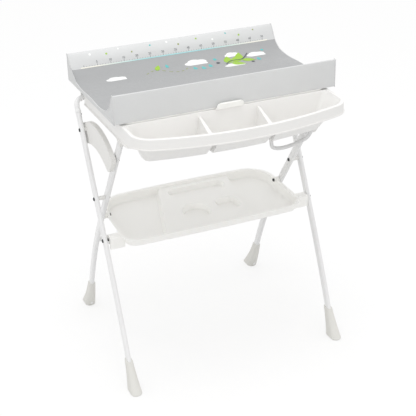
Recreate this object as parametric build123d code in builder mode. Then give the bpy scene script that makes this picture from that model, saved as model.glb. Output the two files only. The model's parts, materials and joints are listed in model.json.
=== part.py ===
from build123d import *
from math import cos, pi, radians, sin, sqrt, tan
import os

# Folding changing table with a bath tub under a padded mat, in millimetres
# X runs to the right, Y to the back and Z up, with the floor at Z zero

# Frame tubes
tube_depth = 30.0
tube_width = 15.0
tube_wall = 1.5
pivot_y = 30.0
pivot_z = 629.0
tub_leg_gap = 19.5
leg_gap = 24.0
outer_lean = 26.8
inner_lean = 34.6
outer_upper_length = 312.0
outer_lower_length = 160.0
inner_upper_length = 372.0
inner_lower_length = 160.0
outer_foot_y = -255.0
inner_foot_y = 353.0
leg_end_z = 16.0

# Fits
pin_clearance = 0.08
seat_clearance = 0.3
socket_clearance = 0.15
overrun = 5.0

# Feet
front_foot_height = 104.0
rear_foot_height = 126.0
foot_sole_length = 74.0
foot_sole_width = 42.0
foot_waist_length = 56.0
foot_waist_width = 33.0
foot_lip = 4.5
foot_waist_share = 0.4
foot_waist_flare_share = 0.3
front_foot_flare = 14.0
rear_foot_flare = 30.0
foot_edge_radius = 3.0

# Rear cross tube, its elbows and the lower cross tube
cross_tube_diameter = 22.0
cross_tube_wall = 1.5
elbow_run = 20.0
elbow_bend_radius = 28.0
lower_cross_share = 0.633
lower_cross_diameter = 19.0

# Screws, bolts, pegs and studs
pin_diameter = 8.0
bolt_head_diameter = 13.0
bolt_head_height = 3.4
bolt_head_round = 2.0
nut_diameter = 12.0
nut_height = 3.1
spacer_diameter = 15.0
elbow_screw_distance = 302.0
elbow_screw_diameter = 5.0
elbow_screw_reach = 6.0
elbow_screw_head_diameter = 9.0
elbow_screw_head_height = 2.6
peg_diameter = 10.0
peg_head_diameter = 16.0
peg_head_height = 4.0
peg_distance = 150.0
arm_pin_distance = 247.0
arm_stud_distance = 236.0
arm_stud_diameter = 11.0
arm_stud_reach = 12.0
shelf_hinge_distance = 137.0

# Saddles on top of the inner legs, under the deck
saddle_wall = 2.4
saddle_grip = 32.0
saddle_front_y = -205.0
saddle_rear_y = -163.0
saddle_edge_radius = 2.0

# Lock arms
arm_outer_radius = 271.0
arm_start_radius = 204.0
arm_middle_radius = 187.0
arm_end_radius = 190.0
arm_start_angle = 51.0
arm_end_angle = 130.5
arm_corner_radius = 20.0
arm_leg_gap = 4.5
arm_plate_thickness = 4.0
arm_flange_reach = 12.0
arm_flange = 4.0
arm_open_from_angle = 76.0
arm_open_to_angle = 128.0
arm_open_depth = 34.0
arm_boss_diameter = 20.0
arm_catch_tooth = 6.0
arm_catch_gap = 4.0
arm_catch_drop = 7.0
arm_catch_ramp = 36.0
arm_catch_front_drop = 14.0
arm_seat_gap = 0.4

# Bath tub moulding
tub_half_width = 378.0
tub_rear_y = 235.0
tub_front_y = -414.0
tub_bow_depth = 68.9
tub_front_corner_radius = 75.0
tub_rear_corner_radius = 24.0
tub_wall = 3.0
tub_deck_z = 985.0
tub_front_height = 37.0
tub_side_height = 57.0
tub_side_front_y = -240.0
tub_side_rise_run = 100.0
tub_lip = 3.0
tub_lip_height = 3.0
tub_edge_radius = 2.6
hinge_notch_radius = 19.0
basin_end_rim = 60.0
basin_front_y = -183.0
basin_rear_y = 175.0
basin_corner_radius = 75.0
basin_floor_z = 806.0
basin_left_slope_run = 113.0
basin_right_slope_run = 46.0
basin_floor_front_y = -128.0
basin_floor_rear_y = 128.0
basin_floor_corner_radius = 55.0
basin_floor_edge_radius = 26.0
seat_bump_x = -20.0
seat_bump_width = 96.0
seat_bump_length = 150.0
seat_bump_height = 22.0
seat_bump_slope = 22.0
seat_bump_corner = 18.0

# Three-compartment tray at the front of the tub
tray_rim = 11.0
tray_back_y = -213.0
tray_floor_z = 871.0
tray_front_slope_run = 112.0
tray_end_slope_run = 52.0
tray_back_slope_run = 5.0
tray_floor_bow_depth = 33.5
tray_corner_radius = 16.0
tray_floor_front_radius = 20.0
tray_floor_back_radius = 12.0
tray_floor_edge_radius = 9.0
divider_x = 107.0
divider_top_width = 8.0
divider_foot_width = 30.0
divider_back_drop = 13.0
divider_front_drop = 78.0

# Tub hinge clips, drain and hose
tub_clip_inset = 78.0
tub_clip_width = 26.0
tub_clip_wall = 4.5
tub_clip_mouth = 15.0
tub_clip_web = 20.0
drain_flange_diameter = 40.0
drain_flange_thickness = 2.5
drain_neck_diameter = 20.0
drain_nut_diameter = 32.0
drain_nut_height = 6.0
plug_diameter = 34.0
plug_thickness = 4.0
plug_stem_length = 12.0
plug_knob_diameter = 12.0
plug_knob_height = 9.0
plug_edge_radius = 1.5
hose_diameter = 14.0
hose_bore = 10.0
hose_clip_z = 905.0
hose_clip_width = 14.0
hose_clip_wall = 2.5
hose_clip_arm = 9.0
hose_cap_length = 9.0
hose_cap_wall = 2.0
hose_cap_skirt = 8.0
hose_run_share = 0.45

# Route of the drain hose, from under the basin round and up behind the tray
# The first value is the distance in from the tub's right edge, then come Y and Z
hose_route = [
    (152, -80, 783),
    (152, -80, 752),
    (135, -78, 720),
    (99, -78, 705),
    (63, -89, 717),
    (45, -115, 745),
    (40, -148, 787),
    (40, -176, 838),
    (40, -193, 888),
    (40, -200, 928),
]

# Changing mat and its board
mat_length = 800.0
mat_width = 494.0
mat_centre_y = 31.0
mat_bottom_z = 991.0
mat_height = 97.0
mat_floor_thickness = 10.0
mat_crown = 3.0
mat_top_width = 10.0
mat_top_round = 3.0
mat_slope_run = 54.0
mat_slope_foot = 34.0
mat_cove_run = 90.0
mat_cove_height = 19.0
mat_bolster_run = 166.0
mat_side_crown = 3.0
mat_end_draw = 5.0
mat_end_length = 12.0
board_inset = 10.0
board_thickness = 5.0
board_front_y = -208.0
board_rear_y = 229.0
board_corner_radius = 30.0
tab_half_width = 48.0
tab_thickness = 4.0
tab_mat_gap = 3.0
tab_top_z = 1009.0
tab_lean = 14.0
tab_heel_radius = 6.0
tab_lip_radius = 3.0
tab_corner_radius = 14.0

# Storage shelf, drawn flat in its own slightly tilted plane
shelf_leg_gap = 4.5
shelf_rear_narrowing = 7.0
shelf_depth = 366.0
shelf_front_y = -120.0
shelf_front_z = 511.0
shelf_tilt = 2.4
shelf_rear_corner_radius = 105.0
shelf_front_corner_radius = 55.0
shelf_rear_bow = 12.0
shelf_front_bow = 6.0
shelf_height = 34.0
shelf_wall = 2.5
shelf_rim = 12.0
shelf_rim_thickness = 3.5
shelf_wall_run = 6.0
shelf_floor_radius = 8.0
shelf_panel_drop = 9.0
shelf_panel_front_left_x = -200.0
shelf_panel_front_right_x = 140.0
shelf_panel_back_left_x = -92.0
shelf_panel_back_right_x = 190.0
shelf_panel_slope = 14.0
shelf_slot_x = 38.0
shelf_slot_y = 177.0
shelf_slot_length = 232.0
shelf_slot_width = 62.0
shelf_slot_depth = 26.0
shelf_cup_x = -30.0
shelf_cup_y = 16.0
shelf_cup_radius = 55.0
shelf_dish_x = 100.0
shelf_dish_y = 24.0
shelf_dish_side = 88.0
shelf_dish_corner_radius = 26.0
shelf_cup_depth = 28.0
shelf_recess_taper = 10.0
shelf_boss_diameter = 22.0
shelf_boss_gap = 0.7
ear_leg_gap = 5.5
ear_thickness = 11.0
ear_radius = 15.0
ear_length = 30.0
ear_peg_gap = 1.2
ear_slot_angle = 51.0
ear_bridge_front = 26.0
ear_bridge_rear = 10.0
ear_bridge_top = 17.0
ear_bridge_thickness = 7.0
ear_web_depth = 12.0
ear_web_drop = 28.0
ear_corner_radius = 2.5


def bow_radius(half, depth):
    """Radius of an arc with this half chord and depth."""
    return (half**2 + depth**2) / (2 * depth)


# Values worked out from the sizes above
outer_leg_x = tub_half_width + tub_leg_gap + tube_width / 2
inner_leg_x = outer_leg_x - tube_width - leg_gap
outer_inner_face = outer_leg_x - tube_width / 2
outer_outer_face = outer_leg_x + tube_width / 2
inner_outer_face = inner_leg_x + tube_width / 2
inner_inner_face = inner_leg_x - tube_width / 2
pin_hole_radius = pin_diameter / 2 + pin_clearance
tub_front_edge_z = tub_deck_z - tub_front_height
tub_side_edge_z = tub_deck_z - tub_side_height
deck_underside_z = tub_deck_z - tub_wall
mat_front_y = mat_centre_y - mat_width / 2
tab_rear_y = mat_front_y - tab_mat_gap
board_bottom_z = tub_deck_z + seat_clearance
hose_points = [(tub_half_width - inset, y, z) for inset, y, z in hose_route]
drain_x, drain_y, hose_start_z = hose_points[0]
tub_bow_radius = bow_radius(tub_half_width, tub_bow_depth)
basin_half_length = tub_half_width - basin_end_rim
basin_floor_left_x = -basin_half_length + basin_left_slope_run
basin_floor_right_x = basin_half_length - basin_right_slope_run
tub_clip_x = tub_half_width - tub_clip_inset
board_half_length = tub_half_width - board_inset
arm_plate_near_x = outer_inner_face - arm_leg_gap - arm_plate_thickness
shelf_front_half_width = inner_inner_face - shelf_leg_gap
shelf_rear_half_width = shelf_front_half_width - shelf_rear_narrowing
ear_near_x = outer_inner_face - ear_leg_gap - ear_thickness

sides = ((-1, "left"), (1, "right"))


def save(builder, name):
    """Label one finished sub-part and write its file."""
    builder.part.label = name
    export_step(builder.part, f"parts/{name}.step")


def along_outer(distance):
    """Y and Z on the straight part of an outer leg, measured up from the pivot."""
    lean = radians(outer_lean)
    return pivot_y + distance * sin(lean), pivot_z + distance * cos(lean)


def along_inner(distance):
    """Y and Z on the straight part of an inner leg, measured up from the pivot."""
    lean = radians(inner_lean)
    return pivot_y - distance * sin(lean), pivot_z + distance * cos(lean)


hinge_y, hinge_z = along_outer(outer_upper_length + elbow_run + elbow_bend_radius)


def side_plane(x):
    """Plane at one X whose own X and Y are the object's Y and Z."""
    return Plane(origin=(x, 0, 0), x_dir=(0, 1, 0), z_dir=(1, 0, 0))


def x_cylinder(radius, x_from, x_to, y, z, mode=Mode.ADD):
    """Cylinder along X between two X values, added to the current part."""
    length = x_to - x_from
    plane = Plane(origin=((x_from + x_to) / 2, y, z), z_dir=(1, 0, 0))
    with Locations(plane):
        Cylinder(radius, abs(length), mode=mode)


os.makedirs("parts", exist_ok=True)


# Legs: flat-oval tubes, straight through the pivot and gently curved to the foot
def leg_path(x, upper, lower, foot_y):
    """Centre line of a leg from its top end to its end inside the foot."""
    straight = Line((x, *upper), (x, *lower))
    TangentArc((x, *lower), (x, foot_y, leg_end_z), tangent=straight % 1)


def leg_solid(x, upper, lower, foot_y, shrink=0.0):
    """Flat-oval bar along a leg's centre line, smaller all round by shrink."""
    with BuildPart() as bar:
        with BuildLine() as path:
            leg_path(x, upper, lower, foot_y)
        start = path.line @ 0
        heading = path.line % 0
        across = Vector(1, 0, 0).cross(heading)
        with BuildSketch(Plane(origin=start, x_dir=across, z_dir=heading)):
            SlotOverall(tube_depth - 2 * shrink, tube_width - 2 * shrink)
        sweep()
    return bar.part


def leg_tube(x, upper, lower, foot_y, holes):
    """Hollow leg with cross holes: each has a radius, its place and its two ends in X."""
    with BuildPart() as tube:
        add(leg_solid(x, upper, lower, foot_y))
        add(leg_solid(x, upper, lower, foot_y, tube_wall), mode=Mode.SUBTRACT)
        for radius, place, x_from, x_to in holes:
            x_cylinder(radius, x_from, x_to, *place, Mode.SUBTRACT)
    return tube


outer_upper = along_outer(outer_upper_length)
outer_lower = along_outer(-outer_lower_length)
inner_upper = along_inner(inner_upper_length)
inner_lower = along_inner(-inner_lower_length)
pivot = (pivot_y, pivot_z)
arm_pin_place = along_outer(arm_pin_distance)
elbow_screw_place = along_outer(elbow_screw_distance)
peg_place = along_outer(-peg_distance)
arm_stud_place = along_inner(arm_stud_distance)
shelf_hinge_place = along_inner(-shelf_hinge_distance)

for side, word in sides:
    leg_x = side * outer_leg_x
    hole_ends = (leg_x - tube_width, leg_x + tube_width)
    outer_holes = [(pin_hole_radius, place, *hole_ends) for place in (pivot, arm_pin_place, peg_place)]
    screw_hole_radius = elbow_screw_diameter / 2 + pin_clearance
    outer_holes.append((screw_hole_radius, elbow_screw_place, leg_x, leg_x - side * tube_width))
    outer_leg = leg_tube(leg_x, outer_upper, outer_lower, outer_foot_y, outer_holes)
    save(outer_leg, f"outer_leg_{word}")
    leg_x = side * inner_leg_x
    hole_ends = (leg_x - tube_width, leg_x + tube_width)
    inner_holes = [
        (pin_hole_radius, place, *hole_ends) for place in (pivot, arm_stud_place, shelf_hinge_place)
    ]
    inner_leg = leg_tube(leg_x, inner_upper, inner_lower, inner_foot_y, inner_holes)
    save(inner_leg, f"inner_leg_{word}")


# Feet: boots on the legs' centre lines that flare outwards to a long flat sole
def bend_y(lower, lean, foot_y, z):
    """Y on the bent lower stretch of a leg at a height; lean is positive where the leg leans back."""
    normal = Vector(cos(radians(lean)), -sin(radians(lean)))
    chord = Vector(foot_y - lower[0], leg_end_z - lower[1])
    radius = chord.length**2 / (2 * chord.dot(normal))
    centre = Vector(*lower) + normal * radius
    across = sqrt(radius**2 - (z - centre.Y) ** 2)
    return centre.X - across if radius > 0 else centre.X + across


def foot(x, upper, lower, lean, foot_y, height, flare):
    """Boot on the lower end of a leg; flare moves its sole to the back, or to the front if negative."""
    top_y = bend_y(lower, lean, foot_y, height)
    waist_z = height * foot_waist_share
    waist_y = bend_y(lower, lean, foot_y, waist_z) + flare * foot_waist_flare_share
    top_length = tube_depth + 2 * foot_lip
    with BuildPart() as boot:
        with BuildSketch(Plane.XY.offset(height)):
            with Locations((x, top_y)):
                SlotOverall(top_length, tube_width + 2 * foot_lip, rotation=90)
        with BuildSketch(Plane.XY.offset(waist_z)):
            with Locations((x, waist_y)):
                SlotOverall(foot_waist_length, foot_waist_width, rotation=90)
        with BuildSketch(Plane.XY):
            with Locations((x, foot_y + flare)):
                SlotOverall(foot_sole_length, foot_sole_width, rotation=90)
        loft()
        fillet(boot.edges().group_by(Axis.Z)[0], foot_edge_radius)
        add(leg_solid(x, upper, lower, foot_y, -socket_clearance), mode=Mode.SUBTRACT)
    return boot


for side, word in sides:
    leg_x = side * outer_leg_x
    front_foot = foot(
        leg_x, outer_upper, outer_lower, outer_lean, outer_foot_y, front_foot_height, -front_foot_flare
    )
    save(front_foot, f"front_foot_{word}")
    leg_x = side * inner_leg_x
    rear_foot = foot(
        leg_x, inner_upper, inner_lower, -inner_lean, inner_foot_y, rear_foot_height, rear_foot_flare
    )
    save(rear_foot, f"rear_foot_{word}")

# Elbows turn each outer leg inwards to the rear cross tube
outer_heading = Vector(0, sin(radians(outer_lean)), cos(radians(outer_lean)))
outer_across = Vector(0, cos(radians(outer_lean)), -sin(radians(outer_lean)))
for side, word in sides:
    elbow_start = Vector(side * outer_leg_x, *outer_upper)
    bend_start = elbow_start + outer_heading * elbow_run
    bend_end = bend_start + outer_heading * elbow_bend_radius - Vector(side * elbow_bend_radius, 0, 0)
    with BuildPart() as elbow:
        with BuildLine():
            elbow_line = Line(elbow_start, bend_start)
            TangentArc(bend_start, bend_end, tangent=elbow_line % 1)
        with BuildSketch(Plane(origin=elbow_start, x_dir=outer_across, z_dir=outer_heading)):
            SlotOverall(tube_depth, tube_width)
        sweep()
    save(elbow, f"elbow_{word}")


def cross_tube(diameter, half_length, y, z):
    """Round tube across the frame, centred on X zero."""
    with BuildPart() as tube:
        x_cylinder(diameter / 2, -half_length, half_length, y, z)
        x_cylinder(diameter / 2 - cross_tube_wall, -half_length, half_length, y, z, Mode.SUBTRACT)
    return tube


rear_cross_tube = cross_tube(cross_tube_diameter, outer_leg_x - elbow_bend_radius, hinge_y, hinge_z)
save(rear_cross_tube, "rear_cross_tube")

with BuildLine() as inner_line:
    leg_path(inner_leg_x, inner_upper, inner_lower, inner_foot_y)
lower_cross_place = inner_line.wires()[0] @ lower_cross_share
lower_cross_tube = cross_tube(
    lower_cross_diameter, inner_inner_face, lower_cross_place.Y, lower_cross_place.Z
)
save(lower_cross_tube, "lower_cross_tube")


# Turned pieces on an X axis: bolts, pins, pegs, studs, spacers and screws
def turned(side, place, steps, round_end=0.0):
    """Stack of cylinders, each with a radius and its near and far distance from the centre plane."""
    with BuildPart() as piece:
        for radius, near, far in steps:
            x_cylinder(radius, side * near, side * far, *place)
        if round_end:
            rims = piece.edges().filter_by(GeomType.CIRCLE).group_by(Axis.X)
            fillet(rims[-1] if side > 0 else rims[0], round_end)
    return piece


head_radius = bolt_head_diameter / 2
pin_radius = pin_diameter / 2
nut_radius = nut_diameter / 2
outer_head_face = outer_outer_face + bolt_head_height
inner_head_face = inner_outer_face + bolt_head_height
inner_nut_face = inner_inner_face - seat_clearance
arm_boss_face = outer_inner_face - seat_clearance
arm_nut_face = arm_plate_near_x - seat_clearance
peg_inner_face = ear_near_x - seat_clearance
shelf_hinge_depth = shelf_hinge_place[0] - shelf_front_y
shelf_half_growth = shelf_rear_half_width - shelf_front_half_width
shelf_half_at_hinge = shelf_front_half_width + shelf_half_growth * shelf_hinge_depth / shelf_depth
nut_low_depth = shelf_front_z + shelf_hinge_depth * tan(radians(shelf_tilt)) - shelf_hinge_place[1] + nut_radius
nut_wall_run = shelf_wall_run * nut_low_depth / shelf_height
shelf_nut_x = shelf_half_at_hinge - shelf_rim - nut_wall_run - seat_clearance

for side, word in sides:
    pivot_bolt = turned(
        side,
        pivot,
        [
            (nut_radius, inner_nut_face - nut_height, inner_nut_face),
            (pin_radius, inner_nut_face, outer_outer_face),
            (head_radius, outer_outer_face, outer_head_face),
        ],
        bolt_head_round,
    )
    save(pivot_bolt, f"pivot_bolt_{word}")

    with BuildPart() as pivot_spacer:
        spacer_ends = (side * (inner_outer_face + seat_clearance), side * outer_inner_face)
        x_cylinder(spacer_diameter / 2, *spacer_ends, *pivot)
        x_cylinder(pin_hole_radius, *spacer_ends, *pivot, Mode.SUBTRACT)
    save(pivot_spacer, f"pivot_spacer_{word}")

    arm_pin = turned(
        side,
        arm_pin_place,
        [
            (nut_radius, arm_nut_face - nut_height, arm_nut_face),
            (pin_radius, arm_nut_face, outer_outer_face),
            (head_radius, outer_outer_face, outer_head_face),
        ],
        bolt_head_round,
    )
    save(arm_pin, f"arm_pin_{word}")

    shelf_peg = turned(
        side,
        peg_place,
        [
            (peg_head_diameter / 2, peg_inner_face - peg_head_height, peg_inner_face),
            (peg_diameter / 2, peg_inner_face, outer_inner_face),
            (pin_radius, outer_inner_face, outer_outer_face),
            (head_radius, outer_outer_face, outer_head_face),
        ],
        bolt_head_round,
    )
    save(shelf_peg, f"shelf_peg_{word}")

    arm_stud = turned(
        side,
        arm_stud_place,
        [
            (nut_radius, inner_inner_face - nut_height, inner_inner_face),
            (pin_radius, inner_inner_face, inner_outer_face),
            (arm_stud_diameter / 2, inner_outer_face, inner_outer_face + arm_stud_reach),
        ],
        bolt_head_round,
    )
    save(arm_stud, f"arm_stud_{word}")

    shelf_bolt = turned(
        side,
        shelf_hinge_place,
        [
            (nut_radius, shelf_nut_x - nut_height, shelf_nut_x),
            (pin_radius, shelf_nut_x, inner_outer_face),
            (head_radius, inner_outer_face, inner_head_face),
        ],
        bolt_head_round,
    )
    save(shelf_bolt, f"shelf_bolt_{word}")

with BuildPart() as elbow_screws:
    for side, word in sides:
        head_face = outer_inner_face - elbow_screw_head_height
        x_cylinder(
            elbow_screw_head_diameter / 2, side * head_face, side * outer_inner_face, *elbow_screw_place
        )
        shank_end = outer_inner_face + elbow_screw_reach
        x_cylinder(
            elbow_screw_diameter / 2, side * outer_inner_face, side * shank_end, *elbow_screw_place
        )
save(elbow_screws, "elbow_screws")

# Saddles: caps on the inner legs with flat tops under the deck
inner_across = Vector(0, cos(radians(inner_lean)), sin(radians(inner_lean)))
saddle_top_z = deck_underside_z - seat_clearance
saddle_half_depth = tube_depth / 2 + saddle_wall
saddle_foot = Vector(0, *along_inner(inner_upper_length - saddle_grip))
saddle_foot_front = saddle_foot - inner_across * saddle_half_depth
saddle_foot_rear = saddle_foot + inner_across * saddle_half_depth
leg_rise = 1 / tan(radians(inner_lean))
saddle_front_low_z = saddle_foot_front.Z + (saddle_foot_front.Y - saddle_front_y) * leg_rise
saddle_rear_low_z = saddle_foot_rear.Z + (saddle_foot_rear.Y - saddle_rear_y) * leg_rise
saddle_near_x = inner_inner_face - saddle_wall - socket_clearance
saddle_far_x = tub_half_width - tub_wall - seat_clearance
for side, word in sides:
    with BuildPart() as tub_saddle:
        with BuildSketch(side_plane(side * saddle_near_x)):
            with BuildLine():
                Polyline(
                    (saddle_foot_front.Y, saddle_foot_front.Z),
                    (saddle_front_y, saddle_front_low_z),
                    (saddle_front_y, saddle_top_z),
                    (saddle_rear_y, saddle_top_z),
                    (saddle_rear_y, saddle_rear_low_z),
                    (saddle_foot_rear.Y, saddle_foot_rear.Z),
                    close=True,
                )
            make_face()
        extrude(amount=side * (saddle_far_x - saddle_near_x))
        fillet(tub_saddle.edges().filter_by(Axis.X), saddle_edge_radius)
        add(
            leg_solid(side * inner_leg_x, inner_upper, inner_lower, inner_foot_y, -socket_clearance),
            mode=Mode.SUBTRACT,
        )
    save(tub_saddle, f"tub_saddle_{word}")


# Bath tub: one moulding with a deck, a skirt, a basin and a tray in front of it
def bowed_outline(half, apex, radius, rear, front_radius, rear_radius):
    """Outline with straight back and sides and a front that bows to its apex on the centre line."""
    corner_y = apex + radius - sqrt(radius**2 - half**2)
    with BuildSketch() as outline:
        with BuildLine():
            Polyline((-half, corner_y), (-half, rear), (half, rear), (half, corner_y))
            ThreePointArc((half, corner_y), (0, apex), (-half, corner_y))
        make_face()
        corners = outline.vertices().group_by(Axis.Y)
        fillet(corners[0], front_radius)
        fillet(outline.vertices().group_by(Axis.Y)[-1], rear_radius)
    return outline.sketch


def tub_outline(inset):
    """Deck outline, set in from its edge by inset."""
    return bowed_outline(
        tub_half_width - inset,
        tub_front_y + inset,
        tub_bow_radius - inset,
        tub_rear_y - inset,
        tub_front_corner_radius - inset,
        tub_rear_corner_radius - inset,
    )


def basin_form(grow):
    """Inside of the basin, or its outside when grown by the wall."""
    with BuildPart() as form:
        with BuildSketch(Plane.XY.offset(tub_deck_z)):
            with Locations((0, (basin_front_y + basin_rear_y) / 2)):
                RectangleRounded(
                    2 * (basin_half_length + grow),
                    basin_rear_y - basin_front_y + 2 * grow,
                    basin_corner_radius + grow,
                )
        floor_centre = (
            (basin_floor_left_x + basin_floor_right_x) / 2,
            (basin_floor_front_y + basin_floor_rear_y) / 2,
        )
        with BuildSketch(Plane.XY.offset(basin_floor_z - grow)):
            with Locations(floor_centre):
                RectangleRounded(
                    basin_floor_right_x - basin_floor_left_x + 2 * grow,
                    basin_floor_rear_y - basin_floor_front_y + 2 * grow,
                    basin_floor_corner_radius + grow,
                )
        loft()
        fillet(form.edges().group_by(Axis.Z)[0], basin_floor_edge_radius + grow)
    return form.part


tray_half = tub_half_width - tray_rim
tray_apex = tub_front_y + tray_rim
tray_floor_apex = tray_apex + tray_front_slope_run
tray_floor_half = tray_half - tray_end_slope_run


def tray_form(grow):
    """Inside of the tray before its dividers, or its outside when grown by the wall."""
    with BuildPart() as form:
        with BuildSketch(Plane.XY.offset(tub_deck_z)):
            add(
                bowed_outline(
                    tray_half + grow,
                    tray_apex - grow,
                    tub_bow_radius - tray_rim + grow,
                    tray_back_y + grow,
                    tub_front_corner_radius - tray_rim + grow,
                    tray_corner_radius + grow,
                )
            )
        with BuildSketch(Plane.XY.offset(tray_floor_z - grow)):
            add(
                bowed_outline(
                    tray_floor_half + grow,
                    tray_floor_apex - grow,
                    bow_radius(tray_floor_half, tray_floor_bow_depth) + grow,
                    tray_back_y - tray_back_slope_run + grow,
                    tray_floor_front_radius + grow,
                    tray_floor_back_radius + grow,
                )
            )
        loft()
        fillet(form.edges().group_by(Axis.Z)[0], tray_floor_edge_radius + grow)
    return form.part


def divider_form(x, shrink):
    """Wedge from the back of the tray to its front, thinner all round by shrink."""
    foot_z = tray_floor_z - tub_wall - overrun
    top_z = tub_deck_z - divider_back_drop
    foot_half = divider_foot_width / 2 - shrink
    top_half = divider_top_width / 2 - shrink * tub_wall / divider_top_width
    reach = tray_back_y - tray_apex
    cut_back_z = top_z - shrink
    cut_front_z = tub_deck_z - divider_front_drop - shrink
    with BuildPart() as wedge:
        with BuildSketch(Plane(origin=(x, tray_back_y + tub_wall, 0), x_dir=(1, 0, 0), z_dir=(0, -1, 0))):
            with BuildLine():
                Polyline(
                    (-foot_half, foot_z), (foot_half, foot_z), (top_half, top_z), (-top_half, top_z), close=True
                )
            make_face()
        extrude(amount=reach + 2 * tub_wall)
        with BuildSketch(side_plane(x)):
            with BuildLine():
                Polyline(
                    (tray_back_y + tub_wall, cut_back_z),
                    (tray_apex - tub_wall, cut_front_z),
                    (tray_apex - tub_wall, tub_deck_z),
                    (tray_back_y + tub_wall, tub_deck_z),
                    close=True,
                )
            make_face()
        extrude(amount=divider_foot_width, both=True, mode=Mode.SUBTRACT)
    return wedge.part


def bump_form(shrink):
    """Ridge across the basin floor, thinner all round by shrink."""
    base_z = basin_floor_z - shrink
    with BuildPart() as ridge:
        for height, slope in ((0, 0), (seat_bump_height, seat_bump_slope)):
            with BuildSketch(Plane.XY.offset(base_z + height)):
                with Locations((seat_bump_x, 0)):
                    RectangleRounded(
                        seat_bump_width - 2 * (slope + shrink),
                        seat_bump_length - 2 * (slope + shrink),
                        seat_bump_corner - shrink,
                    )
        loft()
    return ridge.part


def below_edge(rise):
    """All that lies below the skirt's lower edge, moved up by rise."""
    low_z = tub_side_edge_z + rise
    high_z = tub_front_edge_z + rise
    front_y = tub_front_y - tub_lip - overrun
    rear_y = tub_rear_y + tub_lip + overrun
    base_z = tub_side_edge_z - overrun
    rise_end_y = tub_side_front_y - tub_side_rise_run
    rise_middle_y = tub_side_front_y - tub_side_rise_run / 2
    reach = tub_half_width + tub_lip + overrun
    with BuildPart() as form:
        with BuildSketch(side_plane(0)):
            with BuildLine():
                Polyline((tub_side_front_y, low_z), (rear_y, low_z), (rear_y, base_z), (front_y, base_z))
                Polyline((front_y, base_z), (front_y, high_z), (rise_end_y, high_z))
                Bezier(
                    (rise_end_y, high_z),
                    (rise_middle_y, high_z),
                    (rise_middle_y, low_z),
                    (tub_side_front_y, low_z),
                )
            make_face()
        extrude(amount=reach, both=True)
    return form.part


tray_outside = tray_form(tub_wall)
with BuildPart() as tub_bead:
    with BuildSketch(Plane.XY.offset(tub_side_edge_z)):
        add(tub_outline(-tub_lip))
    extrude(amount=tub_side_height)
    add(below_edge(tub_lip_height), mode=Mode.INTERSECT)

with BuildPart() as bathtub:
    with BuildSketch(Plane.XY.offset(tub_side_edge_z)):
        add(tub_outline(0))
    extrude(amount=tub_side_height)
    add(tub_bead.part)
    with BuildSketch(Plane.XY.offset(tub_side_edge_z)):
        add(tub_outline(tub_wall))
    extrude(amount=tub_side_height - tub_wall, mode=Mode.SUBTRACT)
    add(below_edge(0), mode=Mode.SUBTRACT)
    add(basin_form(tub_wall))
    add(tray_outside)
    add(basin_form(0), mode=Mode.SUBTRACT)
    add(tray_form(0), mode=Mode.SUBTRACT)
    fillet(bathtub.edges().group_by(Axis.Z)[-1], tub_edge_radius)
    for x in (-divider_x, divider_x):
        add(divider_form(x, 0) & tray_outside)
        add(divider_form(x, tub_wall), mode=Mode.SUBTRACT)
    add(bump_form(0))
    add(bump_form(tub_wall), mode=Mode.SUBTRACT)
    with Locations((drain_x, drain_y, basin_floor_z)):
        Cylinder(drain_neck_diameter / 2 + pin_clearance, 2 * (tub_wall + overrun), mode=Mode.SUBTRACT)
    for side, word in sides:
        notch_ends = (side * (tub_half_width - tub_wall - overrun), side * (tub_half_width + tub_lip + overrun))
        x_cylinder(hinge_notch_radius, *notch_ends, hinge_y, hinge_z, Mode.SUBTRACT)
        notch_drop = hinge_z - tub_side_edge_z + overrun
        with Locations((side * tub_half_width, hinge_y, hinge_z - notch_drop / 2)):
            Box(2 * (tub_wall + overrun), 2 * hinge_notch_radius, notch_drop, mode=Mode.SUBTRACT)
save(bathtub, "bathtub")

# Clips under the deck that hang the tub on the rear cross tube
clip_bore_radius = cross_tube_diameter / 2 + seat_clearance
clip_radius = clip_bore_radius + tub_clip_wall
for side, word in sides:
    clip_ends = (side * tub_clip_x - tub_clip_width / 2, side * tub_clip_x + tub_clip_width / 2)
    with BuildPart() as tub_clip:
        x_cylinder(clip_radius, *clip_ends, hinge_y, hinge_z)
        with Locations((side * tub_clip_x, hinge_y, (hinge_z + deck_underside_z) / 2)):
            Box(tub_clip_width, tub_clip_web, deck_underside_z - hinge_z)
        x_cylinder(clip_bore_radius, *clip_ends, hinge_y, hinge_z, Mode.SUBTRACT)
        with Locations((side * tub_clip_x, hinge_y, hinge_z - clip_radius / 2)):
            Box(tub_clip_width, tub_clip_mouth, clip_radius, mode=Mode.SUBTRACT)
    save(tub_clip, f"tub_clip_{word}")

# Drain outlet through the basin floor, its plug, and the hose with its clip and cap
flange_z = basin_floor_z + drain_flange_thickness
basin_underside_z = basin_floor_z - tub_wall
with BuildPart() as drain_outlet:
    with BuildSketch(Plane(origin=(drain_x, drain_y, 0), x_dir=(1, 0, 0), z_dir=(0, -1, 0))):
        with BuildLine():
            Polyline(
                (hose_bore / 2, hose_start_z),
                (hose_diameter / 2, hose_start_z),
                (hose_diameter / 2, basin_underside_z - drain_nut_height),
                (drain_nut_diameter / 2, basin_underside_z - drain_nut_height),
                (drain_nut_diameter / 2, basin_underside_z),
                (drain_neck_diameter / 2, basin_underside_z),
                (drain_neck_diameter / 2, basin_floor_z),
                (drain_flange_diameter / 2, basin_floor_z),
                (drain_flange_diameter / 2, flange_z),
                (hose_bore / 2, flange_z),
                close=True,
            )
        make_face()
    revolve(axis=Axis((drain_x, drain_y, 0), (0, 0, 1)))
save(drain_outlet, "drain_outlet")

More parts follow.
